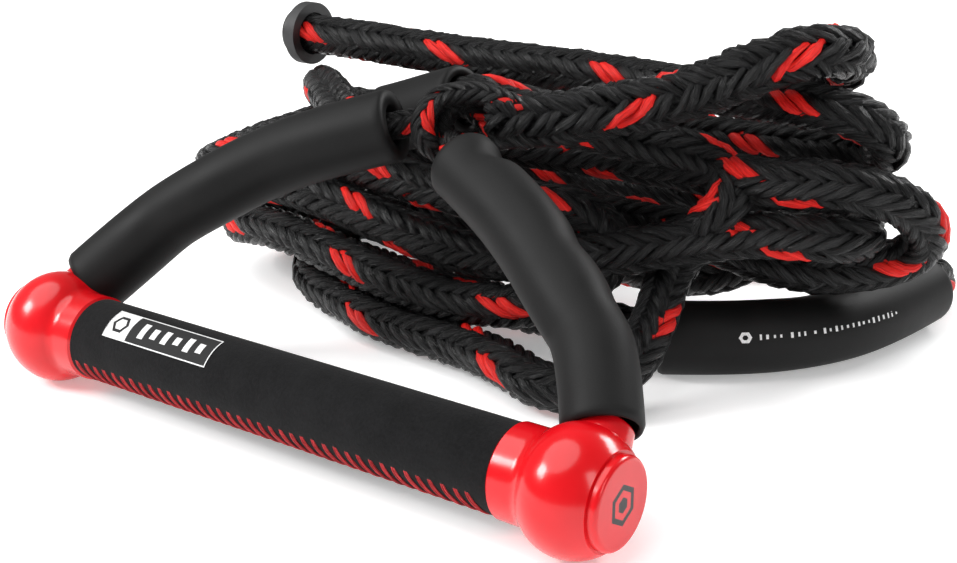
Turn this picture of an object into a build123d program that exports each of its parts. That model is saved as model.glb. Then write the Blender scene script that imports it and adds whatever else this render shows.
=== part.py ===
"""Wakesurf tow handle with its bridle, foam floats and a loosely hanked braided tow line.

Frame: millimetres, +Z up, origin at the middle of the hand grip on the bar's axis, +X along the bar
to the right end cap, +Y from the bar towards the tow line. The end caps rest on the plane z = FLOOR.
"""
from build123d import *
import math
import os

# ---- driving dimensions ---------------------------------------------------------------------
BAR_LENGTH = 254.0          # over both end buttons: a 10 inch handle
GRIP_LENGTH = 179.5         # between the caps
GRIP_R = 14.3               # outside the suede cover
COVER_WALL = 1.1
CORE_R, CORE_WALL = 11.0, 2.0
COLLAR_LENGTH, COLLAR_R = 8.0, 15.0
BULB_R = 20.0
NECK_ARC_R, NECK_TURN = 6.0, 40.0       # hollow curve from the collar up into the bulb
DOME_TURN = 43.0                        # how far the bulb's end curves in before the button
BUTTON_R, BUTTON_PROUD, BUTTON_ROUND = 14.2, 3.2, 1.5
FLOOR = -BULB_R

PORT_X = 110.5              # middle of the cap's round end, where the bridle leaves it
PORT_TILT = 41.0            # the ports point up and back by this angle
PORT_START, PORT_START_R = 13.5, 11.2
PORT_MOUTH, PORT_MOUTH_R = 23.0, 8.8
PORT_EDGE = 1.2             # rounding of the port's rim
PIVOT_REACH = 29.0          # from the bar's axis to the bend of the bridle rope
FLOAT_GAP = 9.5             # from that bend to the foam of an arm float
BRIDLE_R = 5.0
ROPE_R = 8.75               # tow line
SPLICE_R = 9.8              # tow line where the bridle is buried in it

ARM_FLOAT_R, ARM_BORE_R = 12.7, 7.4
LINE_FLOAT_R, LINE_BORE_R = 13.6, 9.1
DISC_R, DISC_WIDTH, DISC_HOLE_R = 13.2, 5.0, 9.0
DISC_SET_BACK = 1.0         # from the end knob to the disc

STITCH_COUNT, STITCH_PITCH = 38, 4.6
STITCH_LENGTH, STITCH_WIDTH, STITCH_DEPTH = 4.8, 1.0, 1.2
STITCH_LEAN = -66.0         # degrees from the bar's axis
SEAM_TURN = 116.0           # the seam lies at the front, just below the middle
LABEL_START, LABEL_END = -75.0, -25.5
LABEL_TURN, LABEL_HEIGHT, LABEL_THICK = 32.0, 11.0, 0.35

HANK_ROUND = 9.0            # edge rounding of the hank's layers: half a rope
HANK_CORNER = 30.0          # corner radius of the hank's layers, seen from above
LAYER_LOW, LAYER_MID, LAYER_TOP = 16.0, 52.0, 71.0

# ---- routes, chosen by hand -------------------------------------------------------------------
PORT_DIR = (0.0, math.cos(math.radians(PORT_TILT)), math.sin(math.radians(PORT_TILT)))
LEFT_ARM = [(-94.5, 31, 32), (-76, 38, 45.5), (-57, 50, 58), (-35, 58, 68), (-9.5, 68, 76)]
RIGHT_ARM = [(98.5, 31, 31), (84, 37, 40), (65, 47, 51.5), (43, 57, 61), (22, 64, 68)]
LEFT_ARM_END, RIGHT_ARM_END = (0, 74, 78), (13, 70, 73)
LINE_FLOAT_ROUTE = [(60, 133, -6), (82, 147, -6), (102, 171, -6), (114, 204, -6), (117, 242, -6)]
BACK_LOOP = [(118, 253, -6), (110, 270, -9), (90, 280, -11), (62, 274, -11), (36, 256, -11), (12, 237, -11),
             (-8, 226, -11)]
REAR_FLOAT_ENDS = [(-38, 98, 68), (-2, 98, 80.5)]
REAR_LEAD = 6.0             # line standing out of the rear float at each end
SPLICE_ROUTE = [(17, 85, 78), (30, 94, 77.5), (50, 109, 81), (70, 126, 86), (86, 139, 94), (100, 150, 101),
                (108, 163, 101), (107, 179, 96), (98, 192, 89), (84, 200, 82)]
TOP_RUN = [(-138, 162, 81), (-95, 162, 81), (-48, 158, 81), (0, 163, 81), (44, 160, 81), (78, 161, 81),
           (98, 159, 81), (113, 160, 81), (124, 168, 75), (124, 180, 65), (113, 188, 59), (98, 187, 60),
           (84, 184, 60)]
FRONT_BIGHT = [(28, 83, -8), (45, 75, -9), (63, 78, -9), (72, 97, -2), (68, 118, 10), (64, 132, 20)]
TOW_LOOP = [(97, 142, 56), (113, 149, 58), (129, 162, 54), (137, 176, 45), (138, 188, 33), (129, 190, 22),
            (114, 180, 18), (98, 166, 18)]


def direction(a, b):
    """Unit vector from point a to point b."""
    return (Vector(*b) - Vector(*a)).normalized()


def bent_path(points):
    """Straight runs joined by arcs as large as each corner's two runs allow."""
    radii = []
    for before, here, after in zip(points, points[1:], points[2:]):
        run_in = Vector(*here) - Vector(*before)
        run_out = Vector(*after) - Vector(*here)
        half_turn = math.radians(run_in.get_angle(run_out)) / 2
        radii.append(0.45 * min(run_in.length, run_out.length) / math.tan(half_turn))
    return FilletPolyline(*points, radius=radii), radii


def tube(name, points, outer, bore=0.0):
    """A round rope or float along a bent path, and its tightest bend printed as a check."""
    path, radii = bent_path(points)
    start = Plane(origin=path @ 0, z_dir=path % 0)
    solid = sweep(start * Circle(outer), path=path)
    volume = math.pi * outer**2 * path.length
    if bore:
        solid -= sweep(start * Circle(bore), path=path)
        volume -= math.pi * bore**2 * path.length
    print(f"{name}: length {path.length:.0f}, bends {[round(r) for r in radii]}, "
          f"volume ratio {solid.volume / volume:.3f}")
    return solid


def rod(start, end, outer, bore=0.0):
    """A straight rod or sleeve between two points."""
    length = (Vector(*end) - Vector(*start)).length
    plane = Plane(origin=start, z_dir=direction(start, end))
    profile = Circle(outer) - Circle(bore) if bore else Circle(outer)
    return extrude(plane * profile, length)


def along_x(x0, x1, outer, bore=0.0):
    """A straight sleeve on the bar's axis."""
    return rod((x0, 0, 0), (x1, 0, 0), outer, bore)


def on_port(side, reach):
    """A point on a port's axis, at this distance from the bar's axis."""
    return (side * PORT_X, PORT_DIR[1] * reach, PORT_DIR[2] * reach)


# ---- the handle bar ---------------------------------------------------------------------------
GRIP_END = GRIP_LENGTH / 2
COLLAR_END = GRIP_END + COLLAR_LENGTH
BULB_END = BAR_LENGTH / 2 - BUTTON_PROUD
TUBE_END = PORT_X - 6.75    # the tube stops short of the bridle's corner
CAVITY_R, CAVITY_WALL = 12.5, 4.0
CAVITY_END = BULB_END - CAVITY_WALL
BUTTON_SEAT_R, SEAT_DEPTH = 12.8, 3.5
BADGE_R, BADGE_DEPTH, BADGE_LINE, BADGE_CORE_R = 6.5, 0.8, 1.8, 2.5
ROPE_FIT = 0.3              # play round the bridle where it passes a hole
BUSH_LENGTH, BUSH_SET_BACK = 13.5, 0.5
ROPE_SPLIT = 0.2            # between the bridle's run in the bar and its corner knuckle
BEND_GAP = 6.6              # from the port rope's end to the bend at the pivot
HOLE_OVERRUN = 5.0
COLLAR_EDGE = 0.8           # bevel on the collar's rim


def core_tube():
    return along_x(-TUBE_END, TUBE_END, CORE_R, CORE_R - CORE_WALL)


def grip_foam():
    return along_x(-GRIP_END, GRIP_END, GRIP_R - COVER_WALL, CORE_R)


def grip_cover():
    return along_x(-GRIP_END, GRIP_END, GRIP_R, GRIP_R - COVER_WALL)


def grip_seam():
    """The cover's seam: one slanted stitch per pitch, half sunk in the cover."""
    stitch = Box(STITCH_LENGTH, STITCH_WIDTH, STITCH_DEPTH)
    stitches = []
    for i in range(STITCH_COUNT):
        x = (i - (STITCH_COUNT - 1) / 2) * STITCH_PITCH
        place = Rot(X=SEAM_TURN) * Pos(x, 0, GRIP_R) * Rot(Z=STITCH_LEAN)
        stitches.append(place * stitch)
    return Compound(children=stitches)


def grip_label():
    """A thin flexible patch glued round the front of the cover near its left end."""
    ring = along_x(LABEL_START, LABEL_END, GRIP_R + LABEL_THICK, GRIP_R)
    reach = LABEL_END - LABEL_START + 2
    window = Rot(X=LABEL_TURN) * Pos((LABEL_START + LABEL_END) / 2, 0, GRIP_R) * Box(reach, LABEL_HEIGHT, GRIP_R)
    return ring & window


def cap_profile(side):
    """Half section of a cap: a collar, a hollow neck, then a round bulb, open at the end for the button."""
    neck_rise = 1 - math.cos(math.radians(NECK_TURN))
    shoulder_r = (BULB_R - COLLAR_R) / neck_rise - NECK_ARC_R
    with BuildSketch(Plane.XY) as sketch:
        with BuildLine():
            Polyline((GRIP_END, CORE_R), (GRIP_END, COLLAR_R - COLLAR_EDGE), (GRIP_END + COLLAR_EDGE, COLLAR_R),
                     (COLLAR_END, COLLAR_R))
            neck = JernArc((COLLAR_END, COLLAR_R), (1, 0), NECK_ARC_R, NECK_TURN)
            shoulder = JernArc(neck @ 1, neck % 1, shoulder_r, -NECK_TURN)
            top = shoulder @ 1
            dome_r = (BULB_END - top.X) / math.sin(math.radians(DOME_TURN))
            dome = JernArc(top, (1, 0), dome_r, -DOME_TURN)
            Polyline(dome @ 1, (BULB_END, BUTTON_SEAT_R), (CAVITY_END, BUTTON_SEAT_R), (CAVITY_END, CAVITY_R),
                     (TUBE_END, CAVITY_R), (TUBE_END, CORE_R), (GRIP_END, CORE_R))
        make_face()
    return sketch.sketch if side > 0 else mirror(sketch.sketch, about=Plane.YZ)


def port_boss(side):
    """The tapered boss that the bridle leaves by."""
    length = PORT_MOUTH - PORT_START
    taper = math.degrees(math.atan((PORT_START_R - PORT_MOUTH_R) / length))
    foot = Plane(origin=on_port(side, PORT_START), z_dir=PORT_DIR)
    boss = extrude(foot * Circle(PORT_START_R), length, taper=taper)
    return fillet(boss.edges().filter_by(GeomType.CIRCLE).sort_by(Axis.Z)[-1], PORT_EDGE)


def end_cap(side):
    """A moulded cap with the bridle's port standing proud of its bulb."""
    shell = revolve(cap_profile(side), axis=Axis.X)
    cavity = along_x(side * TUBE_END, side * CAVITY_END, CAVITY_R)
    hole = rod(on_port(side, 0), on_port(side, PORT_MOUTH + HOLE_OVERRUN), BRIDLE_R + ROPE_FIT)
    return shell + (port_boss(side) - cavity) - hole


def badge_sketch():
    """A plain hexagon ring round a small hexagon."""
    ring = RegularPolygon(BADGE_R, 6) - RegularPolygon(BADGE_R - BADGE_LINE, 6)
    return ring + RegularPolygon(BADGE_CORE_R, 6)


def button_badge(side):
    """The black inlay in the button, flush with its face."""
    face = Plane(origin=(side * BAR_LENGTH / 2, 0, 0), z_dir=(-side, 0, 0))
    return extrude(face * badge_sketch(), BADGE_DEPTH)


def end_button(side):
    """The end cover: a spigot pressed into the cap and a flat proud face with a rounded rim."""
    spigot = along_x(side * (BULB_END - SEAT_DEPTH), side * BULB_END, BUTTON_SEAT_R)
    face = along_x(side * BULB_END, side * BAR_LENGTH / 2, BUTTON_R)
    rim = face.edges().filter_by(GeomType.CIRCLE).sort_by(Axis.X)[-1 if side > 0 else 0]
    return spigot + fillet(rim, BUTTON_ROUND) - button_badge(side)


def tube_bush(side):
    """A smooth plastic bush in the tube's mouth, so that its edge can't cut the rope."""
    outer_end = TUBE_END - BUSH_SET_BACK
    return along_x(side * (outer_end - BUSH_LENGTH), side * outer_end, CORE_R - CORE_WALL, BRIDLE_R + ROPE_FIT)


def bar_rope():
    """The bridle's run through the hollow bar, up to the two corners in the caps."""
    end = PORT_X - BRIDLE_R - ROPE_SPLIT
    return along_x(-end, end, BRIDLE_R)


def port_rope(side):
    """The bridle where it turns inside a cap and runs out through the port."""
    knuckle = Pos(side * PORT_X, 0, 0) * Sphere(BRIDLE_R)
    return knuckle + rod(on_port(side, 0), on_port(side, PIVOT_REACH - BEND_GAP), BRIDLE_R)


# ---- bridle, floats and tow line ----------------------------------------------------------------
APEX = (7, 75, 77)
KNOT_R = 12.0
KNOB_R, KNOB_LENGTH, KNOB_ROUND = 10.2, 4.0, 1.6


def arm_rope(side, route):
    """The bridle inside an arm float, from its bend at the port to the bridle knot."""
    points = [on_port(side, PIVOT_REACH)] + route + [LEFT_ARM_END if side < 0 else RIGHT_ARM_END]
    shaft = tube(f"arm rope {side}", points, BRIDLE_R)
    return shaft + Pos(*points[0]) * Sphere(BRIDLE_R)


def arm_float(side, route):
    bend = on_port(side, PIVOT_REACH)
    start = Vector(*bend) + direction(bend, route[0]) * FLOAT_GAP
    return tube(f"arm float {side}", [tuple(start)] + route, ARM_FLOAT_R, ARM_BORE_R)


def bridle_knot():
    """The knot that gathers the two arms and the tow line's splice."""
    return Pos(*APEX) * Sphere(KNOT_R)


def rear_float():
    return rod(*REAR_FLOAT_ENDS, ARM_FLOAT_R, LINE_BORE_R)


def rear_rope():
    """The stretch of line inside the rear float, a little longer than the float at both ends."""
    start, end = REAR_FLOAT_ENDS
    lead = direction(start, end) * REAR_LEAD
    return rod(Vector(*start) - lead, Vector(*end) + lead, ROPE_R)


def stopper_disc():
    toward = direction(TOP_RUN[0], TOP_RUN[1])
    start = Vector(*TOP_RUN[0]) + toward * DISC_SET_BACK
    return rod(start, start + toward * DISC_WIDTH, DISC_R, DISC_HOLE_R)


def end_knot():
    """The sealed knob that keeps the disc on the line."""
    toward = direction(TOP_RUN[0], TOP_RUN[1])
    end = Vector(*TOP_RUN[0])
    knob = rod(end - toward * KNOB_LENGTH, end, KNOB_R)
    return fillet(knob.edges().filter_by(GeomType.CIRCLE), KNOB_ROUND)


def layer(x0, x1, y0, y1, z0, z1):
    """One layer of the hank: the outer shape of its flattened loops."""
    block = Box(x1 - x0, y1 - y0, z1 - z0)
    block = fillet(block.edges().filter_by(Axis.Z), HANK_CORNER)
    faces = block.faces().sort_by(Axis.Z)
    block = fillet(faces[0].edges() + faces[-1].edges(), min(HANK_ROUND, (z1 - z0) * 0.45))
    return Pos((x0 + x1) / 2, (y0 + y1) / 2, (z0 + z1) / 2) * block


os.makedirs("parts", exist_ok=True)
SIDES = {"left": -1, "right": 1}
nodes = {
    "core_tube": core_tube(),
    "grip_foam": grip_foam(),
    "grip_cover": grip_cover(),
    "grip_seam": grip_seam(),
    "grip_label": grip_label(),
    "bar_rope": bar_rope(),
    "left_arm_rope": arm_rope(-1, LEFT_ARM),
    "right_arm_rope": arm_rope(1, RIGHT_ARM),
    "left_float": arm_float(-1, LEFT_ARM),
    "right_float": arm_float(1, RIGHT_ARM),
    "bridle_knot": bridle_knot(),
    "line_float": tube("line float", LINE_FLOAT_ROUTE, LINE_FLOAT_R, LINE_BORE_R),
    "line_float_rope": tube("line float rope", LINE_FLOAT_ROUTE + BACK_LOOP, ROPE_R),
    "rear_float": rear_float(),
    "rear_float_rope": rear_rope(),
    "splice_rope": tube("splice rope", SPLICE_ROUTE, SPLICE_R),
    "top_rope": tube("top rope", TOP_RUN, ROPE_R),
    "front_bight": tube("front bight", FRONT_BIGHT, ROPE_R),
    "stopper_disc": stopper_disc(),
    "end_knot": end_knot(),
    "tow_loop": tube("tow loop", TOW_LOOP, ROPE_R),
    "hank_low": layer(-160, 40, 96, 226, FLOOR, LAYER_LOW),
    "hank_mid": layer(-168, 92, 106, 214, LAYER_LOW, LAYER_MID),
    "hank_top": layer(-112, 84, 115, 214, LAYER_MID, LAYER_TOP),
}
for word, side in SIDES.items():
    nodes[f"{word}_end_cap"] = end_cap(side)
    nodes[f"{word}_end_button"] = end_button(side)
    nodes[f"{word}_button_badge"] = button_badge(side)
    nodes[f"{word}_tube_bush"] = tube_bush(side)
    nodes[f"{word}_port_rope"] = port_rope(side)

for name, shape in nodes.items():
    export_step(shape, f"parts/{name}.step")
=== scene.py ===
"""Looks of the wakesurf tow handle: camera, braided ropes, foam floats, suede grip, glossy caps.

The frame is the CAD model's. Lengths are in metres and angles in radians, unless a comment says otherwise."""
import math
import random

import bpy
from mathutils import Matrix, Vector


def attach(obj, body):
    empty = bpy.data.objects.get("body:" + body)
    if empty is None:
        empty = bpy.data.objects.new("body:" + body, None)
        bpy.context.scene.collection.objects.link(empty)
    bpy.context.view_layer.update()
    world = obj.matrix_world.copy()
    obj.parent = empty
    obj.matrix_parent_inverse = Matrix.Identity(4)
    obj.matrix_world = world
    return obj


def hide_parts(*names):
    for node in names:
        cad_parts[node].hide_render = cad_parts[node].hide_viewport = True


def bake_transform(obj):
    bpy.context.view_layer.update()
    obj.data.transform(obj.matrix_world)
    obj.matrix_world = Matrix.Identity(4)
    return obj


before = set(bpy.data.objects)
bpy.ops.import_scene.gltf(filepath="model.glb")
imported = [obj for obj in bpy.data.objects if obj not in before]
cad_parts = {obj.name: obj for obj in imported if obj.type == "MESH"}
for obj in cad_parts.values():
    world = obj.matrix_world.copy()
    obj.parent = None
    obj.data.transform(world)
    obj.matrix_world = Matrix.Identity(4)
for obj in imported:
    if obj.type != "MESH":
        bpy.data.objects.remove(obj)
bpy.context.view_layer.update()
MM = 0.001

# ---- camera -----------------------------------------------------------------------------------
CAM_AZIMUTH, CAM_ELEVATION = math.radians(36.67), math.radians(18.95)
CAM_TARGET, CAM_DISTANCE = Vector((0.07685, 0.0, 0.05562)), 0.4555
CAM_LENS, CAM_SENSOR = 60.19, 36.0       # millimetres


def make_camera():
    """The studio camera: it looks down along the bar from the front right."""
    back = Vector((math.sin(CAM_AZIMUTH) * math.cos(CAM_ELEVATION),
                   -math.cos(CAM_AZIMUTH) * math.cos(CAM_ELEVATION), math.sin(CAM_ELEVATION)))
    data = bpy.data.cameras.new("camera")
    data.lens, data.sensor_width = CAM_LENS, CAM_SENSOR
    data.clip_start = 0.01
    camera = bpy.data.objects.new("camera", data)
    right = Vector((0, 0, 1)).cross(back).normalized()
    turn = Matrix((right, back.cross(right), back)).transposed()
    camera.matrix_world = Matrix.Translation(CAM_TARGET + back * CAM_DISTANCE) @ turn.to_4x4()
    bpy.context.scene.collection.objects.link(camera)
    bpy.context.scene.camera = camera


# ---- routes, the same points as the CAD tubes where those show one rope ----------------------
def mm_points(*points):
    return [Vector(p) * MM for p in points]


LEFT_ARM = mm_points((-94.5, 31, 32), (-76, 38, 45.5), (-57, 50, 58), (-35, 58, 68), (-9.5, 68, 76))
RIGHT_ARM = mm_points((98.5, 31, 31), (84, 37, 40), (65, 47, 51.5), (43, 57, 61), (22, 64, 68))
LINE_FLOAT_ROUTE = mm_points((60, 133, -6), (82, 147, -6), (102, 171, -6), (114, 204, -6), (117, 242, -6))
REAR_FLOAT_ENDS = mm_points((-38, 98, 68), (-2, 98, 80.5))
SPLICE_ROUTE = mm_points(
    (17, 85, 78), (30, 94, 77.5), (50, 109, 81), (70, 126, 86), (86, 139, 94), (100, 150, 101),
    (108, 163, 101), (107, 179, 96), (98, 192, 89), (84, 200, 82))
LINE_ROUTE = mm_points(
    # from the splice, along the back of the pile to the left
    (84, 200, 82), (64, 208, 74), (36, 208, 68), (0, 206, 66), (-38, 202, 62), (-76, 204, 56), (-110, 198, 48),
    (-138, 184, 40), (-156, 164, 33), (-166, 142, 27),
    # along the top of the front to the tow loop
    (-160, 122, 26), (-138, 121, 36), (-114, 124, 47), (-88, 128, 54), (-56, 132, 57), (-24, 134, 57),
    (6, 138, 56), (36, 140, 57), (66, 141, 57), (97, 142, 56), (113, 149, 58), (129, 162, 54), (137, 176, 45),
    (138, 188, 33), (129, 190, 22), (114, 180, 18),
    # low and leftwards behind the front
    (98, 166, 18), (70, 158, 25), (45, 156, 30), (18, 151, 29), (-12, 148, 21), (-42, 152, 17),
    (-72, 152, 14), (-94, 149, 9), (-106, 139, 1), (-104, 124, -8),
    # on the floor, round the bight under the right float and up
    (-90, 113, -11), (-70, 106, -11), (-48, 98, -11), (-26, 95, -11),
    (0, 92, -10), (28, 83, -8), (45, 75, -9), (63, 78, -9), (72, 97, -2), (68, 118, 10),
    (64, 132, 20), (74, 132, 36), (86, 134, 48), (80, 144, 58),
    # through the rear float to the upper left
    (62, 138, 64), (40, 126, 69), (17, 108, 78), (4, 98, 82.6), (-2, 98, 80.5), (-20, 98, 74.2), (-38, 98, 68),
    (-60, 103, 62),
    (-86, 122, 66), (-108, 140, 66), (-124, 158, 58), (-132, 176, 48), (-118, 192, 44),
    # hidden runs behind
    (-90, 202, 43), (-56, 199, 44), (-20, 202, 42), (20, 203, 41), (58, 204, 41), (82, 206, 41), (99, 214, 38),
    (105, 226, 32), (95, 235, 26), (75, 231, 23), (48, 215, 24), (16, 202, 27), (-24, 202, 28), (-70, 198, 28),
    (-108, 194, 26), (-138, 184, 22), (-154, 164, 18), (-150, 140, 17),
    # second run across the front
    (-126, 118, 26), (-96, 109, 31), (-64, 108, 27), (-32, 107, 22), (0, 105, 20), (32, 108, 25), (60, 120, 31),
    (84, 136, 37), (104, 146, 38), (117, 153, 37), (123, 165, 36), (116, 177, 35), (100, 184, 32), (78, 188, 18),
    (50, 184, 0), (10, 188, -3), (-32, 186, 1), (-70, 190, 4),
    (-104, 186, 4), (-130, 176, -2), (-142, 160, -6), (-126, 149, -10),
    # on the floor inside, then through the line float
    (-98, 142, -8), (-62, 134, -8), (-28, 132, -8), (6, 131, -8), (36, 131, -4),
    (60, 133, -6), (82, 147, -6), (102, 171, -6), (114, 204, -6), (117, 242, -6), (118, 253, -6),
    (110, 270, -9), (90, 280, -11), (62, 274, -11), (36, 256, -11), (12, 237, -11), (-20, 225, -11),
    (-60, 218, -11), (-98, 212, -11), (-130, 200, -9), (-149, 180, -6), (-156, 156, -4), (-152, 134, 0),
    # lowest run across the front
    (-138, 119, 5), (-118, 111, 10), (-97, 107, 11), (-68, 104, 8), (-38, 101, 4), (-8, 99, 3), (20, 101, 6),
    (41, 108, 14), (50, 120, 27), (38, 122, 40),
    # third run across the front, back to the left
    (14, 114, 42), (-18, 112, 40), (-50, 113, 42), (-82, 115, 44), (-110, 122, 38), (-134, 140, 28),
    (-142, 160, 30), (-128, 176, 38),
    # up to the top run, which ends at the stopper disc
    (-102, 176, 48), (-70, 176, 56), (-34, 178, 58), (4, 180, 57), (42, 184, 57), (72, 186, 59), (98, 187, 60),
    (113, 188, 59), (124, 180, 65), (124, 168, 75), (113, 160, 81), (98, 159, 81), (78, 161, 81), (44, 160, 81),
    (0, 163, 81), (-48, 158, 81), (-95, 162, 81), (-138, 162, 81))
KNOT_ROUTE = mm_points(
    (30, 91, 81), (21, 87, 86), (12, 80, 88), (6, 72, 87), (4, 66, 81), (6, 64, 73), (11, 70, 68), (18, 80, 69),
    (18, 86, 77), (10, 84, 83), (5, 78, 82), (6, 73, 75), (12, 76, 69), (24, 87, 73))
LEFT_ARM_END, RIGHT_ARM_END = (0, 74, 78), (13, 70, 73)
ROPE_R, SPLICE_R, BRIDLE_R, KNOT_ROPE_R = 8.75 * MM, 9.8 * MM, 5.0 * MM, 4.4 * MM
FLOOR = -20 * MM

PORT_X, PORT_TILT = 110.5 * MM, math.radians(41)
PIVOT_REACH = 29 * MM       # from the bar's axis to the bend of the bridle


def on_port(side, reach):
    """A point on a port's axis, at this distance from the bar's axis."""
    return Vector((side * PORT_X, math.cos(PORT_TILT) * reach, math.sin(PORT_TILT) * reach))


PIVOT = {"left": on_port(-1, PIVOT_REACH), "right": on_port(1, PIVOT_REACH)}


def spline_points(name, route, per_point=12):
    """The smooth NURBS line of a route, read back as points."""
    data = bpy.data.curves.new(name, "CURVE")
    data.dimensions = "3D"
    data.resolution_u = per_point
    spline = data.splines.new("NURBS")
    spline.points.add(len(route) - 1)
    for point, place in zip(spline.points, route):
        point.co = (*place, 1.0)
    spline.order_u = 3
    spline.use_endpoint_u = True
    holder = bpy.data.objects.new(name, data)
    bpy.context.scene.collection.objects.link(holder)
    mesh = bpy.data.meshes.new_from_object(holder)
    points = [v.co.copy() for v in mesh.vertices]
    bpy.data.objects.remove(holder)
    bpy.data.curves.remove(data)
    bpy.data.meshes.remove(mesh)
    return points


def length_of(points):
    return sum((b - a).length for a, b in zip(points, points[1:]))


def even_points(points, step):
    """The same line with points a nearly equal step apart."""
    total = length_of(points)
    count = max(2, round(total / step))
    out, walked, i = [points[0].copy()], 0.0, 0
    for k in range(1, count):
        goal = total * k / count
        while walked + (points[i + 1] - points[i]).length < goal:
            walked += (points[i + 1] - points[i]).length
            i += 1
        part = (goal - walked) / (points[i + 1] - points[i]).length
        out.append(points[i].lerp(points[i + 1], part))
    out.append(points[-1].copy())
    return out


def frames_along(points):
    """A side and an up direction at each point, carried along the line without twisting."""
    tangents = []
    for i in range(len(points)):
        a, b = points[max(i - 1, 0)], points[min(i + 1, len(points) - 1)]
        tangents.append((b - a).normalized())
    up = Vector((0, 0, 1))
    if abs(tangents[0].z) > 0.9:
        up = Vector((0, 1, 0))
    frames = []
    for tangent in tangents:
        up = (up - tangent * up.dot(tangent)).normalized()
        frames.append((tangent.cross(up), up))
    return frames


# ---- mesh helpers ------------------------------------------------------------------------------
class MeshParts:
    """Grids of points gathered into one mesh, with a UV map in metres and a material per face."""

    def __init__(self):
        self.verts, self.faces, self.uvs, self.mats = [], [], [], []

    def grid(self, rows, mat=0, cap=True, seed=0.0):
        """Join equal closed rings of points, and close the two ends if cap is true."""
        base, n = len(self.verts), len(rows[0])
        for row in rows:
            self.verts.extend(row)
        along = 0.0
        for i in range(len(rows) - 1):
            step = (rows[i + 1][0] - rows[i][0]).length
            for j in range(n):
                k = (j + 1) % n
                a, b = base + i * n + j, base + i * n + k
                self.faces.append((a, b, b + n, a + n))
                self.mats.append(mat)
                v0, v1 = j / n, (j + 1) / n
                self.uvs.extend([(along + seed, v0), (along + seed, v1),
                                 (along + step + seed, v1), (along + step + seed, v0)])
            along += step
        if cap:
            for first, ring in ((True, 0), (False, len(rows) - 1)):
                face = [base + ring * n + j for j in range(n)]
                self.faces.append(tuple(reversed(face)) if first else tuple(face))
                self.mats.append(mat)
                self.uvs.extend([(seed, 0.0)] * n)

    def build(self, name, materials, smooth=True):
        mesh = bpy.data.meshes.new(name)
        mesh.from_pydata([tuple(v) for v in self.verts], [], self.faces)
        uv = mesh.uv_layers.new(name="yarn")
        for loop, value in zip(uv.data, self.uvs):
            loop.uv = value
        for material in materials:
            mesh.materials.append(material)
        for face, mat in zip(mesh.polygons, self.mats):
            face.material_index = mat
            face.use_smooth = smooth
        piece = bpy.data.objects.new(name, mesh)
        bpy.context.scene.collection.objects.link(piece)
        return piece


def ring(centre, side, up, radius, count, squash=1.0):
    """A round or flattened ring of points about a centre."""
    out = []
    for j in range(count):
        angle = 2 * math.pi * j / count
        out.append(centre + side * (math.cos(angle) * radius) + up * (math.sin(angle) * radius * squash))
    return out


# ---- materials ----------------------------------------------------------------------------------
def new_material(name, colour, roughness, metallic=0.0):
    material = bpy.data.materials.new(name)
    material.use_nodes = True
    shader = material.node_tree.nodes["Principled BSDF"]
    shader.inputs["Base Color"].default_value = (*colour, 1)
    shader.inputs["Roughness"].default_value = roughness
    shader.inputs["Metallic"].default_value = metallic
    return material, shader


def add_node(material, kind, **values):
    node = material.node_tree.nodes.new(kind)
    for key, value in values.items():
        if key in node.inputs:
            node.inputs[key].default_value = value
        else:
            setattr(node, key, value)
    return node


def link(material, a, out, b, into):
    material.node_tree.links.new(a.outputs[out], b.inputs[into])


def ramp_between(material, source, out, stops):
    """A colour ramp driven by one output."""
    ramp = add_node(material, "ShaderNodeValToRGB")
    elements = ramp.color_ramp.elements
    elements[0].position, elements[1].position = stops[0][0], stops[-1][0]
    elements[0].color, elements[1].color = stops[0][1], stops[-1][1]
    for position, colour in stops[1:-1]:
        elements.new(position).color = colour
    link(material, source, out, ramp, "Fac")
    return ramp


def add_bump(material, shader, layers):
    """Chain bumps: each layer is a source node, its output, strength and height."""
    previous = None
    for source, out, strength, distance in layers:
        bump = add_node(material, "ShaderNodeBump", Strength=strength, Distance=distance)
        link(material, source, out, bump, "Height")
        if previous:
            link(material, previous, "Normal", bump, "Normal")
        previous = bump
    link(material, previous, "Normal", shader, "Normal")


def grey(value):
    return (value, value, value, 1)


def yarn_material(name, hollow_shade, light, painted_highlight, gloss):
    """Filament yarn: streaks run along it. The base colour is painted: darkest where the bump is low, a painted
    shade in the hollows, with sparse bright fibres as a painted highlight.
    """
    material, shader = new_material(name, light, 0.5)
    uv = add_node(material, "ShaderNodeUVMap", uv_map="yarn")
    fine = add_node(material, "ShaderNodeMapping")
    fine.inputs["Scale"].default_value = (70.0, 34.0, 1.0)
    coarse = add_node(material, "ShaderNodeMapping")
    coarse.inputs["Scale"].default_value = (55.0, 9.0, 1.0)
    fibre = add_node(material, "ShaderNodeTexNoise", Scale=1.0, Detail=3.0, Roughness=0.65, Distortion=0.4)
    tuft = add_node(material, "ShaderNodeTexNoise", Scale=1.0, Detail=2.0, Roughness=0.5, Distortion=0.8)
    for mapping, noise in ((fine, fibre), (coarse, tuft)):
        link(material, uv, "UV", mapping, "Vector")
        link(material, mapping, "Vector", noise, "Vector")
    mix = add_node(material, "ShaderNodeMix", data_type="FLOAT")
    mix.inputs[0].default_value = 0.5
    link(material, fibre, "Fac", mix, 2)
    link(material, tuft, "Fac", mix, 3)
    # painted light in the colour: the lowest stop is painted shade in the hollows, the top stop a painted
    # highlight on sparse fibres
    colour = ramp_between(material, mix, 0, [(0.38, (*hollow_shade, 1)), (0.60, (*light, 1)), (0.69, (*painted_highlight, 1))])
    link(material, colour, "Color", shader, "Base Color")
    rough = ramp_between(material, fibre, "Fac", [(0.35, grey(gloss + 0.25)), (0.65, grey(gloss))])
    link(material, rough, "Color", shader, "Roughness")
    shader.inputs["Specular IOR Level"].default_value = 0.28
    add_bump(material, shader, [(tuft, "Fac", 0.9, 0.0012), (fibre, "Fac", 0.9, 0.0009)])
    return material


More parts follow.
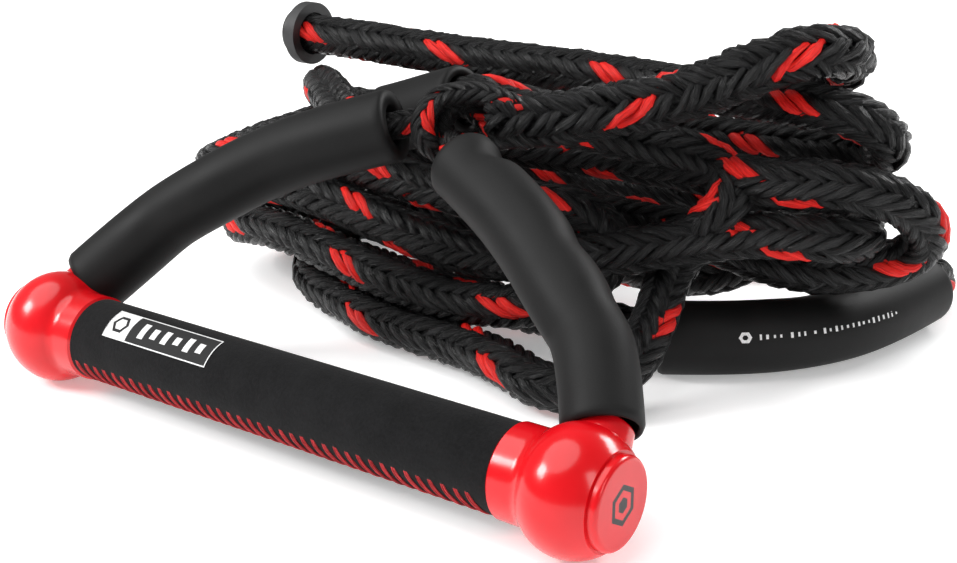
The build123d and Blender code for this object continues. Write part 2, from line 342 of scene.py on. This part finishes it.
def foam_material():
    """Closed-cell foam: charcoal, matte, with a fine skin grain and faint scuffs."""
    material, shader = new_material("eva_foam", (0.012, 0.012, 0.012), 0.62)
    position = add_node(material, "ShaderNodeTexCoord")
    grain = add_node(material, "ShaderNodeTexNoise", Scale=2600.0, Detail=2.0)
    cloud = add_node(material, "ShaderNodeTexNoise", Scale=38.0, Detail=4.0)
    pores = add_node(material, "ShaderNodeTexVoronoi", Scale=1500.0)
    for node in (grain, cloud, pores):
        link(material, position, "Object", node, "Vector")
    colour = ramp_between(material, cloud, "Fac", [(0.35, grey(0.0050)), (0.68, grey(0.0090))])
    link(material, colour, "Color", shader, "Base Color")
    rough = ramp_between(material, cloud, "Fac", [(0.3, grey(0.50)), (0.7, grey(0.62))])
    link(material, rough, "Color", shader, "Roughness")
    shader.inputs["Specular IOR Level"].default_value = 0.17
    add_bump(material, shader, [(cloud, "Fac", 0.25, 0.001), (pores, "Distance", 0.10, 0.0002),
                                (grain, "Fac", 0.12, 0.0001)])
    return material


def suede_material():
    """Short-napped synthetic suede: near black, with a cloudy nap and fibre grain."""
    material, shader = new_material("suede", (0.012, 0.012, 0.013), 0.95)
    position = add_node(material, "ShaderNodeTexCoord")
    nap = add_node(material, "ShaderNodeTexNoise", Scale=900.0, Detail=5.0, Roughness=0.7)
    cloud = add_node(material, "ShaderNodeTexNoise", Scale=70.0, Detail=5.0, Roughness=0.6)
    for node in (nap, cloud):
        link(material, position, "Object", node, "Vector")
    mix = add_node(material, "ShaderNodeMix", data_type="FLOAT")
    mix.inputs[0].default_value = 0.45
    link(material, nap, "Fac", mix, 2)
    link(material, cloud, "Fac", mix, 3)
    stops = [(0.38, (0.0024, 0.0024, 0.0027, 1)), (0.62, (0.0080, 0.0080, 0.0086, 1))]
    colour = ramp_between(material, mix, 0, stops)
    link(material, colour, "Color", shader, "Base Color")
    shader.inputs["Sheen Weight"].default_value = 0.04
    shader.inputs["Sheen Roughness"].default_value = 0.6
    shader.inputs["Specular IOR Level"].default_value = 0.12
    add_bump(material, shader, [(cloud, "Fac", 0.3, 0.0008), (nap, "Fac", 0.55, 0.0004)])
    return material


def gloss_red_material():
    """Moulded, lightly translucent red plastic with a soft glossy skin."""
    material, shader = new_material("cap_plastic", (0.70, 0.004, 0.010), 0.2)
    position = add_node(material, "ShaderNodeTexCoord")
    flow = add_node(material, "ShaderNodeTexNoise", Scale=45.0, Detail=3.0)
    peel = add_node(material, "ShaderNodeTexNoise", Scale=420.0, Detail=2.0)
    for node in (flow, peel):
        link(material, position, "Object", node, "Vector")
    stops = [(0.3, (0.56, 0.002, 0.005, 1)), (0.7, (0.68, 0.004, 0.010, 1))]
    colour = ramp_between(material, flow, "Fac", stops)
    link(material, colour, "Color", shader, "Base Color")
    rough = ramp_between(material, flow, "Fac", [(0.3, grey(0.17)), (0.7, grey(0.27))])
    link(material, rough, "Color", shader, "Roughness")
    shader.inputs["Subsurface Weight"].default_value = 0.05
    shader.inputs["Subsurface Radius"].default_value = (0.004, 0.001, 0.001)
    shader.inputs["Subsurface Scale"].default_value = 0.6
    shader.inputs["Specular IOR Level"].default_value = 0.40
    shader.inputs["Coat Weight"].default_value = 0.15
    shader.inputs["Coat Roughness"].default_value = 0.10
    add_bump(material, shader, [(flow, "Fac", 0.12, 0.0012), (peel, "Fac", 0.035, 0.0003)])
    return material


def plain_plastic(name, colour, roughness):
    """Satin moulded plastic or rubber with a fine texture."""
    material, shader = new_material(name, colour, roughness)
    position = add_node(material, "ShaderNodeTexCoord")
    fine = add_node(material, "ShaderNodeTexNoise", Scale=1400.0, Detail=2.0)
    link(material, position, "Object", fine, "Vector")
    tone = tuple(c * 0.8 for c in colour)
    shade = ramp_between(material, fine, "Fac", [(0.35, (*tone, 1)), (0.65, (*colour, 1))])
    link(material, shade, "Color", shader, "Base Color")
    add_bump(material, shader, [(fine, "Fac", 0.15, 0.0002)])
    return material


def brushed_metal():
    """Drawn aluminium tube."""
    material, shader = new_material("drawn_tube", (0.62, 0.62, 0.64), 0.35, metallic=1.0)
    position = add_node(material, "ShaderNodeTexCoord")
    stretch = add_node(material, "ShaderNodeMapping")
    stretch.inputs["Scale"].default_value = (30.0, 2500.0, 2500.0)
    link(material, position, "Object", stretch, "Vector")
    lines = add_node(material, "ShaderNodeTexNoise", Scale=1.0, Detail=3.0)
    link(material, stretch, "Vector", lines, "Vector")
    rough = ramp_between(material, lines, "Fac", [(0.3, grey(0.28)), (0.7, grey(0.45))])
    link(material, rough, "Color", shader, "Roughness")
    add_bump(material, shader, [(lines, "Fac", 0.1, 0.0002)])
    return material


# ---- rope ---------------------------------------------------------------------------------------
CORE_SHARE = 0.56           # hidden core of a plait, as a share of its radius
YARN_FILL = 1.00            # a yarn's width over the room it has
YARN_THICK = 0.19           # half a yarn's thickness, as a share of the plait's radius
WEAVE_DEPTH = 0.25          # how far an over yarn stands out, as a share of the plait's radius
YARN_SIDES = 8
CORE_SIDES = 8
LINE_STEP, SPLICE_STEP, KNOT_STEP, BRIDLE_STEP = 3.4 * MM, 2.6 * MM, 1.5 * MM, 2.0 * MM
LINE_PITCH, SPLICE_PITCH, KNOT_PITCH, BRIDLE_PITCH = 76 * MM, 58 * MM, 34 * MM, 36 * MM


def braid(name, points, radius, mats, pitch, carriers, red=(), seed=1, rough=0.0, ribs=3):
    """A hollow plait: half the carriers wind each way and cross over and under in ribs.

    Each carrier is a pair of yarns. red lists the carriers that are red. rough loosens the lay."""
    dice = random.Random(seed)
    frames = frames_along(points)
    parts = MeshParts()
    parts.grid([ring(p, s, u, radius * CORE_SHARE, CORE_SIDES) for p, (s, u) in zip(points, frames)], mat=0)
    lengths = [0.0]
    for a, b in zip(points, points[1:]):
        lengths.append(lengths[-1] + (b - a).length)
    half = carriers // 2
    yarn_gap = math.pi / half
    lean = math.cos(math.atan(2 * math.pi * radius / pitch))
    half_width = radius * yarn_gap * lean * YARN_FILL / 2
    half_thick = radius * YARN_THICK
    middle, swing = radius * (1 - YARN_THICK - WEAVE_DEPTH / 2), radius * WEAVE_DEPTH / 2
    for carrier in range(carriers):
        way = 1 if carrier < half else -1
        start = 2 * math.pi * (carrier % half) / half + (0 if way > 0 else math.pi / half)
        for twin in (-0.5, 0.5):
            phases = [dice.uniform(0, 2 * math.pi) for _ in range(5)]
            fat = dice.uniform(0.93, 1.07)
            rows = []
            for along, point, (side, up) in zip(lengths, points, frames):
                angle = start + twin * yarn_gap + way * 2 * math.pi * along / pitch
                stray = 0.09 * math.sin(along * 190 + phases[0]) + 0.07 * math.sin(along * 430 + phases[1])
                angle += rough * stray
                over = math.tanh(2.2 * math.cos(ribs * angle)) * way
                lift = middle + swing * over
                lift += radius * rough * 0.035 * math.sin(along * 350 + phases[2])
                outward = side * math.cos(angle) + up * math.sin(angle)
                around = up * math.cos(angle) - side * math.sin(angle)
                lay = (around * (way * 2 * math.pi * lift / pitch) - side.cross(up)).normalized()
                across = lay.cross(outward).normalized()
                swell = 1 + rough * 0.13 * math.sin(along * 570 + phases[3])
                wide = half_width * fat * swell * (0.88 + 0.14 * over)
                deep = half_thick * (1 + rough * 0.10 * math.sin(along * 690 + phases[4]))
                rows.append(ring(point + outward * lift, across, outward, wide, YARN_SIDES, squash=deep / wide))
            parts.grid(rows, mat=1 if carrier in red else 0, cap=True, seed=dice.random())
    return parts.build(name, mats)


def make_ropes(mats):
    """The tow line, its spliced start and the knot of the bridle."""
    line_path = even_points(spline_points("line_path", LINE_ROUTE), LINE_STEP)
    line = braid("tow_line_rope", line_path, ROPE_R, mats, pitch=LINE_PITCH, carriers=12, red=(8,),
                 seed=3, rough=0.6)
    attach(line, "tow_line")
    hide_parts("top_rope", "front_bight", "tow_loop", "line_float_rope", "rear_float_rope", "hank_low",
                "hank_mid", "hank_top")
    splice_path = even_points(spline_points("splice_path", SPLICE_ROUTE), SPLICE_STEP)
    splice = braid("spliced_rope", splice_path, SPLICE_R, mats, pitch=SPLICE_PITCH, carriers=12,
                   red=(1,), seed=8, rough=1.4)
    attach(splice, "tow_line")
    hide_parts("splice_rope")
    knot_path = even_points(spline_points("knot_path", KNOT_ROUTE), KNOT_STEP)
    knot = braid("bridle_knot_rope", knot_path, KNOT_ROPE_R, mats, pitch=KNOT_PITCH, carriers=8,
                 red=(1,), seed=5, rough=0.8, ribs=2)
    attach(knot, "tow_line")
    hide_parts("bridle_knot")
    length_of(splice_path)
    [tuple(p) for p in splice_path]
    length_of(line_path)
    [tuple(p) for p in line_path]


def make_bridle(mats):
    """The bridle's two arms inside their floats."""
    arms = (("left", -1, LEFT_ARM, LEFT_ARM_END), ("right", 1, RIGHT_ARM, RIGHT_ARM_END))
    for word, side, route, end in arms:
        path = even_points(spline_points(word, [PIVOT[word]] + route + mm_points(end)), BRIDLE_STEP)
        arm = braid(f"{word}_bridle_arm", path, BRIDLE_R, mats, pitch=BRIDLE_PITCH, carriers=8,
                    red=(1,), seed=11 + side, rough=0.5, ribs=2)
        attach(arm, "tow_line")
        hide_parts(f"{word}_arm_rope")
        length_of(path)
        [tuple(p) for p in path]


# ---- floats -------------------------------------------------------------------------------------
ARM_FLOAT_R, LINE_FLOAT_R = 12.7 * MM, 13.6 * MM
ARM_BORE_R = {"left": 7.0 * MM, "right": 7.2 * MM}
LINE_BORE_R = 8.9 * MM
ARM_FLOAT_START = 19.5 * MM             # reach of the foam's mouth, over the port's boss
ARM_MOUTH, MOUTH_FADE = 3.3 * MM, 9 * MM    # how far the boss widens an arm float, and how deep
TUBE_SIDES = 64
LIP_SHARE = 0.055                       # rounding of a cut end, as a share of the tube's radius
WAVE_ALONG, WAVE_ROUND = 0.010, 0.008   # unevenness of the foam, as shares of the radius
CREASES = {
    "left": ((0.30, 0.10, 0.6 * MM, -1.2),),
    "right": ((0.90, 0.035, 3.0 * MM, 0.5), (0.52, 0.05, 1.3 * MM, 0.2), (0.30, 0.05, 1.2 * MM, 0.3)),
    "line": ((0.45, 0.10, 0.8 * MM, 2.0),),
}
FLOAT_STEP = 1.6 * MM
WELD_REACH = 0.02 * MM


def foam_tube(name, path, outer, bore, material, node, creases=(), seed=0, mouth=0.0):
    """A soft foam tube: rounded mouths, gentle swelling, and creases where it is folded.

    A crease is (share of the length, width, depth, angle it faces). mouth widens the bore at the start."""
    dice = random.Random(seed)
    frames = frames_along(path)
    total = length_of(path)
    phases = [dice.uniform(0, 6.28) for _ in range(4)]
    lip = outer * LIP_SHARE
    inner, skin, walked = [], [], 0.0
    for i, (point, (side, up)) in enumerate(zip(path, frames)):
        if i:
            walked += (path[i] - path[i - 1]).length
        share = walked / total
        near_end = min(walked, total - walked)
        edge = math.sqrt(max(0.0, 1 - (1 - min(1.0, near_end / lip)) ** 2))
        row, hole = [], []
        for j in range(TUBE_SIDES):
            angle = 2 * math.pi * j / TUBE_SIDES
            wave = WAVE_ALONG * math.sin(7 * share + phases[0])
            wave += WAVE_ROUND * math.sin(2 * angle + 5 * share + phases[1])
            r = outer * (1 + wave)
            for where, width, depth, facing in creases:
                fall = math.exp(-((share - where) / width) ** 2)
                reach = max(0.0, math.cos(angle - facing)) ** 1.5
                r -= depth * fall * reach
            r = r - lip * (1 - edge)
            direction = side * math.cos(angle) + up * math.sin(angle)
            row.append(point + direction * r)
            widening = lip * 0.6 * (1 - edge) + mouth * math.exp(-((walked / MOUTH_FADE) ** 2))
            hole.append(point + direction * (bore + widening))
        skin.append(row)
        inner.append(hole)
    parts = MeshParts()
    parts.grid(skin + inner[::-1] + [skin[0]], mat=0, cap=False)
    piece = parts.build(name, [material])
    weld = piece.modifiers.new("weld", "WELD")
    weld.merge_threshold = WELD_REACH
    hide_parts(node)
    return piece


def make_floats(material):
    """The two arm floats, the short rear float and the long float on the tow line."""
    for word, side, route in (("left", -1, LEFT_ARM), ("right", 1, RIGHT_ARM)):
        start = on_port(side, ARM_FLOAT_START)
        path = even_points(spline_points(word, [start] + route), FLOAT_STEP)
        piece = foam_tube(f"{word}_foam", path, ARM_FLOAT_R, ARM_BORE_R[word], material, f"{word}_float",
                          CREASES[word], seed=4 + side, mouth=ARM_MOUTH)
        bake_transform(piece)
    line_path = even_points(spline_points("line_float", LINE_FLOAT_ROUTE), FLOAT_STEP)
    line = foam_tube("line_foam", line_path, LINE_FLOAT_R, LINE_BORE_R, material, "line_float", CREASES["line"],
                     seed=9)
    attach(line, "tow_line")
    make_float_print(PRINT, line_path)
    rear_path = even_points(list(REAR_FLOAT_ENDS), 1.4 * MM)
    rear = foam_tube("rear_foam_tube", rear_path, ARM_FLOAT_R, LINE_BORE_R, material, "rear_float", seed=12)
    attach(rear, "rear_foam")


# ---- grip details -------------------------------------------------------------------------------
GRIP_R = 14.3 * MM


def on_grip(x, around, lift=0.0):
    """A point on the grip, around measured from the front (-Y) upwards."""
    r = GRIP_R + lift
    return Vector((x, -math.cos(around) * r, math.sin(around) * r))


SEAM_MIDDLE, STITCH_REACH = math.radians(-32), math.radians(36)
STITCH_COUNT, STITCH_PITCH, STITCH_LEAN = 38, 4.6 * MM, 4.3 * MM
THREAD_R, HOLE_R = 0.36 * MM, 0.62 * MM


def make_seam(thread, hole):
    """Slanted hand stitches across the cover's seam, each a double thread between two punched holes. The holes
    are dark discs on the cover, painted shade for their depth.
    """
    parts = MeshParts()
    dice = random.Random(2)
    steps = 14
    for i in range(STITCH_COUNT):
        x = (i - (STITCH_COUNT - 1) / 2) * STITCH_PITCH + dice.uniform(-0.15, 0.15) * MM
        reach = STITCH_REACH * dice.uniform(0.94, 1.05)
        for strand in (-1, 1):
            rows = []
            for k in range(steps + 1):
                t = k / steps - 0.5
                spread = strand * THREAD_R * (1.0 + 0.5 * math.cos(math.pi * t))
                around = SEAM_MIDDLE - t * reach
                lift = (0.30 - 3.6 * t**4 * 2) * MM
                centre = on_grip(x + t * STITCH_LEAN + spread, around, lift)
                out = on_grip(0, around).normalized()
                rows.append(ring(centre, Vector((1, 0, 0)), out, THREAD_R, 7))
            parts.grid(rows, mat=0, cap=True, seed=dice.random())
        # each punched hole: a dark disc just proud of the cover, painted shade standing in for the hole's depth
        for end in (-0.5, 0.5):
            around = SEAM_MIDDLE - end * reach * 1.03
            centre = on_grip(x + end * STITCH_LEAN * 1.03, around)
            out = on_grip(0, around).normalized()
            side = Vector((1, 0, 0))
            levels = ((-0.2, 1.0), (0.025, 1.0), (0.03, 0.4))
            up = out.cross(side)
            rows = [ring(centre + out * h * MM, side, up, HOLE_R * share, 10) for h, share in levels]
            parts.grid(rows, mat=1, cap=True)
    piece = parts.build("seam_stitches", [thread, hole])
    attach(piece, "handle")
    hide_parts("grip_seam")


def grip_patch(parts, x0, x1, a0, a1, lift, thick, mat):
    """A thin curved patch on the grip between two places along it and two angles round it."""
    cols, rows = 10, 8
    places = [x0 + (x1 - x0) * i / cols for i in range(cols + 1)]
    loops = []
    for j in range(rows + 1):
        around = a0 + (a1 - a0) * j / rows
        top = [on_grip(x, around, lift + thick) for x in places]
        low = [on_grip(x, around, lift - thick) for x in places]
        loops.append(top + low[::-1])
    parts.grid(loops, mat=mat, cap=True)


LABEL_X = (-75.0 * MM, -25.5 * MM)
LABEL_TURN = (math.radians(35), math.radians(81))
PRINT_LINE, PRINT_THICK = 0.42 * MM, 0.02 * MM
BLOCK_WIDTH, BAR_START, BAR_PITCH, BAR_WIDTH = 11.0 * MM, 15.5 * MM, 5.4 * MM, 2.6 * MM
BAR_HEIGHTS = (0.9, 0.6, 0.75, 0.45, 0.8, 0.55)
HEXAGON_R = 3.7 * MM


def hexagon_rows(place, radius, inner, lift):
    """One hexagon ring as flat rows; place(u, v, lift) puts a flat point on the surface."""
    sides = []
    for k in range(6):
        rows = []
        for t in range(5):
            angle = math.pi / 3 * (k + t / 4)
            flat = radius * math.cos(math.pi / 6) / math.cos(angle % (math.pi / 3) - math.pi / 6)
            top = lift + PRINT_THICK
            corners = ((flat, lift), (flat, top), (flat * inner, top), (flat * inner, lift))
            rows.append([place(math.cos(angle) * r, math.sin(angle) * r, h) for r, h in corners])
        sides.append(rows)
    return sides


def make_label(print_white, base):
    """A thin patch with a generic print: an outline, a pale block with a hexagon, and plain bars."""
    parts = MeshParts()
    x0, x1 = LABEL_X
    low, high = LABEL_TURN
    thin, step = PRINT_LINE / GRIP_R, PRINT_THICK
    patch_lift, print_lift = 0.12 * MM, 0.24 * MM
    grip_patch(parts, x0, x1, low, high, patch_lift, patch_lift - step, 1)
    for box in ((x0, x1, high - thin, high), (x0, x1, low, low + thin), (x0, x0 + PRINT_LINE, low, high),
                (x1 - PRINT_LINE, x1, low, high), (x0, x0 + BLOCK_WIDTH, low, high)):
        grip_patch(parts, *box, print_lift, step, 0)
    middle = (low + high) / 2
    for i, share in enumerate(BAR_HEIGHTS):
        left, half = x0 + BAR_START + i * BAR_PITCH, (high - low) * 0.30 * share
        grip_patch(parts, left, left + BAR_WIDTH, middle - half, middle + half, print_lift, step, 0)
    for rows in hexagon_rows(lambda u, v, lift: on_grip(x0 + BLOCK_WIDTH / 2 + u, middle + v / GRIP_R, lift),
                             HEXAGON_R, 0.66, print_lift + 2 * step):
        parts.grid(rows, mat=1, cap=True)
    piece = parts.build("label_print", [print_white, base], smooth=False)
    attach(piece, "handle")
    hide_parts("grip_label")


FLOAT_PRINT_TURN = math.radians(20)     # round the float, from its side towards its top
FLOAT_PRINT_REACH = (0.22, 0.86)        # where the row starts and ends, as shares of the float's length
MARK_HEXAGON_R, MARK_START, MARK_WIDTH = 2.2 * MM, 4.6 * MM, 0.8 * MM
MARK_HEIGHTS, MARK_PITCHES = (1.1, 1.6, 2.0), (2.1, 2.4, 2.4, 3.6)      # millimetres


def make_float_print(print_white, path):
    """A generic print along the long float: a small hexagon and a row of short bars."""
    parts = MeshParts()
    frames = frames_along(path)
    lengths = [0.0]
    for a, b in zip(path, path[1:]):
        lengths.append(lengths[-1] + (b - a).length)
    start, end = (share * lengths[-1] for share in FLOAT_PRINT_REACH)

    def place(along, across, lift):
        i = min(range(len(path)), key=lambda k: abs(lengths[k] - along))
        side, up = frames[i]
        tangent = up.cross(side)
        turn = FLOAT_PRINT_TURN + across / LINE_FLOAT_R
        base = path[i] + tangent * (along - lengths[i])
        return base + (side * math.cos(turn) + up * math.sin(turn)) * (LINE_FLOAT_R + lift)

    lift, step = 0.12 * MM, PRINT_THICK
    for rows in hexagon_rows(lambda u, v, h: place(start + u, v, h), MARK_HEXAGON_R, 0.45, lift):
        parts.grid(rows, mat=0, cap=True)
    dice = random.Random(6)
    along = start + MARK_START
    while along < end:
        height = dice.choice(MARK_HEIGHTS) * MM
        rows = []
        for v in (-0.5, 0.0, 0.5):
            rows.append([place(along, v * height, lift), place(along, v * height, lift + step),
                         place(along + MARK_WIDTH, v * height, lift + step),
                         place(along + MARK_WIDTH, v * height, lift)])
        parts.grid(rows, mat=0, cap=True)
        along += dice.choice(MARK_PITCHES) * MM
    piece = parts.build("line_foam_print", [print_white], smooth=False)
    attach(piece, "tow_line")


# ---- studio -------------------------------------------------------------------------------------
def area_light(name, place, target, size, power):
    data = bpy.data.lights.new(name, "AREA")
    data.shape = "RECTANGLE"
    data.size, data.size_y = size
    data.energy = power
    lamp = bpy.data.objects.new(name, data)
    lamp.location = place
    lamp.rotation_euler = (Vector(target) - Vector(place)).to_track_quat("-Z", "Y").to_euler()
    bpy.context.scene.collection.objects.link(lamp)


WORLD_STRENGTH, FLOOR_GLOW, FLOOR_HALF = 0.26, 0.30, 6.0
SUN_POWER, SUN_WIDTH = 2.2, math.radians(60)


def make_studio():
    """A bright white floor under a soft sky, a wide lamp overhead and three area lamps round the object."""
    world = bpy.data.worlds.new("studio")
    world.use_nodes = True
    world.node_tree.nodes["Background"].inputs["Color"].default_value = (1, 1, 1, 1)
    world.node_tree.nodes["Background"].inputs["Strength"].default_value = WORLD_STRENGTH
    bpy.context.scene.world = world
    bpy.context.scene.view_settings.view_transform = "Standard"
    mesh = bpy.data.meshes.new("floor")
    half, z = FLOOR_HALF, FLOOR - 0.1 * MM
    corners = [(-half, -half, z), (half, -half, z), (half, half, z), (-half, half, z)]
    mesh.from_pydata(corners, [], [(0, 1, 2, 3)])
    floor_material, shader = new_material("floor_white", (0.95, 0.95, 0.95), 0.9)
    shader.inputs["Specular IOR Level"].default_value = 0.1
    shader.inputs["Emission Color"].default_value = (1, 1, 1, 1)
    shader.inputs["Emission Strength"].default_value = FLOOR_GLOW
    mesh.materials.append(floor_material)
    floor = bpy.data.objects.new("floor", mesh)
    bpy.context.scene.collection.objects.link(floor)
    sun_data = bpy.data.lights.new("overhead", "SUN")
    sun_data.energy, sun_data.angle = SUN_POWER, SUN_WIDTH
    sun = bpy.data.objects.new("overhead", sun_data)
    sun.rotation_euler = Vector((-0.35, -0.25, 1.0)).to_track_quat("Z", "Y").to_euler()
    bpy.context.scene.collection.objects.link(sun)
    area_light("key", (-0.75, -0.75, 0.75), (0, 0.08, 0.03), (0.45, 0.35), 12)
    area_light("rim", (0.35, 1.1, 0.7), (0, 0.1, 0.03), (0.7, 0.3), 9)
    area_light("right", (0.95, -0.25, 0.55), (0.1, 0.05, 0.03), (0.3, 0.6), 2.5)


def dress(material, *names):
    """Give carried-over CAD nodes their finished material."""
    for name in names:
        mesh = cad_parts[name].data
        if not mesh.materials:
            mesh.materials.append(material)
        for i in range(len(mesh.materials)):
            mesh.materials[i] = material


def both(*words):
    return [f"{side}_{word}" for word in words for side in ("left", "right")]


make_camera()
# yarn colours: painted shade in the hollows, the yarn's own colour, then a painted highlight on sparse fibres
YARN_BLACK = yarn_material("yarn_black", (0.0006, 0.0006, 0.0007), (0.0070, 0.0070, 0.0075),
                           (0.060, 0.060, 0.064), 0.16)
YARN_RED = yarn_material("yarn_red", (0.58, 0.003, 0.003), (0.96, 0.022, 0.014), (1.0, 0.11, 0.08), 0.32)
make_ropes([YARN_BLACK, YARN_RED])
make_bridle([YARN_BLACK, YARN_RED])
FOAM = foam_material()
PRINT = plain_plastic("print_white", (0.80, 0.80, 0.80), 0.6)
make_floats(FOAM)
# thread colours: painted shade in the hollows, the thread's own red, then a painted pink highlight
THREAD = yarn_material("seam_thread", (0.50, 0.010, 0.015), (1.0, 0.085, 0.095), (1.0, 0.30, 0.30), 0.45)
# the near-black colour of the needle holes is painted shade
make_seam(THREAD, plain_plastic("needle_hole_shade", (0.003, 0.003, 0.003), 0.9))
make_label(PRINT, plain_plastic("patch_black", (0.009, 0.009, 0.0095), 0.85))
CAP = gloss_red_material()
dress(CAP, *both("end_cap", "end_button"))
dress(plain_plastic("badge", (0.012, 0.012, 0.013), 0.45), *both("button_badge"))
dress(plain_plastic("bush", (0.03, 0.03, 0.03), 0.5), *both("tube_bush"))
dress(plain_plastic("stopper", (0.022, 0.022, 0.023), 0.55), "stopper_disc")
dress(plain_plastic("sealed_end", (0.015, 0.015, 0.016), 0.4), "end_knot")
dress(suede_material(), "grip_cover")
dress(FOAM, "grip_foam")
dress(brushed_metal(), "core_tube")
dress(plain_plastic("inner_rope", (0.015, 0.015, 0.016), 0.6), "bar_rope", *both("port_rope"))
make_studio()
